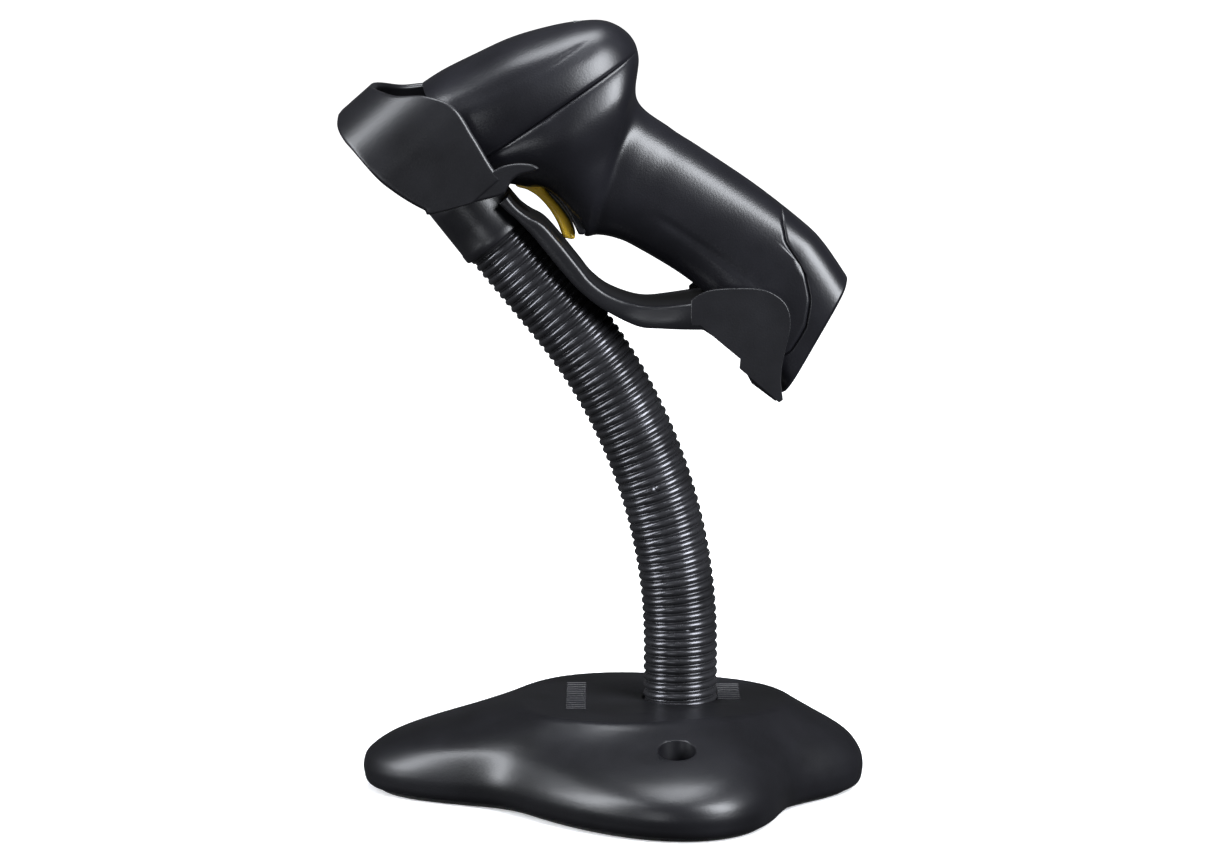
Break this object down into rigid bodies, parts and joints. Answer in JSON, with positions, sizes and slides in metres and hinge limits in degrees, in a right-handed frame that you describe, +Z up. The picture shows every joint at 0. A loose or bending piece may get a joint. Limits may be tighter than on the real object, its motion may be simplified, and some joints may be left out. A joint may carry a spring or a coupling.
{
  "type": "handheld barcode scanner",
  "caption": "Pistol-grip barcode scanner with a yellow trigger, resting in a cup and arm on a bendable gooseneck stand with a lobed weighted base.",
  "frame": {"origin": "where the neck's vertical axis meets the surface the stand rests on, on the rubber mat's underside", "axes": "+Z up, the scanner's nose points to -X and its butt to +X, Y across the stand"},
  "size_m": [0.1828, 0.1732, 0.2688],
  "materials": {
    "housing_black": "fine moulded texture, semi-matte",
    "stand_black": "fine moulded texture, semi-matte",
    "coil_black": "gloss black coated spring steel",
    "liner_steel": "plain wound wire",
    "zinc_steel": "zinc plated",
    "weight_iron": "rough painted plate",
    "rubber_black": "soft matte sheet",
    "trigger_yellow": "smooth gloss",
    "window_red": "tinted, polished",
    "chassis_metal": "die cast",
    "laser_brass": "turned",
    "mirror_silver": "front-surface coating",
    "grey_plastic": "plain moulded",
    "board_green": "solder mask",
    "chip_black": "moulded package",
    "coil_copper": "enamelled winding",
    "lens_clear": "clear, polished",
    "jack_black": "smooth",
    "contact_gold": "plated"
  },
  "bodies": {
    "base": {"base_cover": "stand_black", "base_plate": "zinc_steel", "rubber_mat": "rubber_black", "base_weight": "weight_iron", "base_screws": "zinc_steel", "neck_coil_0": "coil_black", "lower_ferrule": "zinc_steel", "neck_washer": "zinc_steel", "neck_nut": "zinc_steel"},
    "link_1": {"neck_coil_1": "coil_black", "neck_liner_1": "liner_steel"},
    "link_2": {"neck_coil_2": "coil_black", "neck_liner_2": "liner_steel"},
    "link_3": {"neck_coil_3": "coil_black", "neck_liner_3": "liner_steel"},
    "link_4": {"neck_coil_4": "coil_black", "neck_liner_4": "liner_steel"},
    "link_5": {"neck_coil_5": "coil_black", "neck_liner_5": "liner_steel"},
    "link_6": {"neck_coil_6": "coil_black", "neck_liner_6": "liner_steel"},
    "holder": {"neck_coil_7": "coil_black", "neck_liner_7": "liner_steel", "upper_ferrule": "zinc_steel", "holder_cup": "stand_black", "socket_set_screw": "zinc_steel", "support_arm": "stand_black"},
    "scanner": {"top_cover": "housing_black", "grip_left": "housing_black", "grip_right": "housing_black", "butt_cap": "housing_black", "scan_window": "window_red", "window_frame": "grey_plastic", "engine_chassis": "chassis_metal", "laser_module": "laser_brass", "drive_coil": "coil_copper", "collector_lens": "lens_clear", "sensor_board": "board_green", "engine_board": "board_green", "engine_chips": "chip_black", "board_screws": "zinc_steel", "indicator_lens": "lens_clear", "main_board": "board_green", "main_board_chips": "chip_black", "beeper": "chip_black", "cable_jack": "jack_black", "jack_contacts": "contact_gold", "grip_screws": "zinc_steel", "trigger_pin": "zinc_steel", "trigger_switch": "chip_black", "trigger_spring": "zinc_steel"},
    "mirror": {"scan_mirror": "mirror_silver", "mirror_carrier": "grey_plastic"},
    "trigger": {"trigger": "trigger_yellow"},
    "switch_button": {"switch_button": "grey_plastic"}
  },
  "joints": [
    {"name": "neck_pitch_1", "type": "hinge", "parent": "base", "child": "link_1", "pos_m": [0, 0, 0.045], "axis": [0, 1, 0], "range_deg": [-10, 8]},
    {"name": "neck_sway_2", "type": "hinge", "parent": "link_1", "child": "link_2", "pos_m": [-0.00102, 0, 0.07044], "axis": [0.9945, 0, 0.1051], "range_deg": [-10, 10]},
    {"name": "neck_pitch_3", "type": "hinge", "parent": "link_2", "child": "link_3", "pos_m": [-0.00544, 0, 0.09552], "axis": [0, 1, 0], "range_deg": [-10, 8]},
    {"name": "neck_sway_4", "type": "hinge", "parent": "link_3", "child": "link_4", "pos_m": [-0.01325, 0, 0.11975], "axis": [0.9284, 0, 0.3716], "range_deg": [-10, 10]},
    {"name": "neck_pitch_5", "type": "hinge", "parent": "link_4", "child": "link_5", "pos_m": [-0.02431, 0, 0.14267], "axis": [0, 1, 0], "range_deg": [-10, 8]},
    {"name": "neck_sway_6", "type": "hinge", "parent": "link_5", "child": "link_6", "pos_m": [-0.03842, 0, 0.16387], "axis": [0.7923, 0, 0.6101], "range_deg": [-10, 10]},
    {"name": "neck_pitch_7", "type": "hinge", "parent": "link_6", "child": "holder", "pos_m": [-0.05446, 0, 0.18366], "axis": [0, 1, 0], "range_deg": [-10, 3]},
    {"name": "scanner_lift", "type": "slide", "parent": "holder", "child": "scanner", "axis": [0.866, 0, 0.5], "range_m": [0, 0.12]},
    {"name": "trigger_pull", "type": "hinge", "parent": "scanner", "child": "trigger", "pos_m": [-0.0516, 0, 0.2164], "axis": [0, -1, 0], "range_deg": [0, 7], "stiffness_Nm_per_rad": 0.35, "springref_deg": -6.88},
    {"name": "switch_press", "type": "slide", "parent": "scanner", "child": "switch_button", "axis": [0.76, 0, 0.65], "range_m": [0, 0.0021]},
    {"name": "mirror_swing", "type": "hinge", "parent": "scanner", "child": "mirror", "pos_m": [-0.0506, 0, 0.2476], "axis": [-0.5, 0, 0.866], "range_deg": [-12, 12], "stiffness_Nm_per_rad": 0.0006}
  ],
  "couplings": [
    {"joint": "switch_press", "follows": "trigger_pull", "m_per_rad": 0.0168}
  ]
}
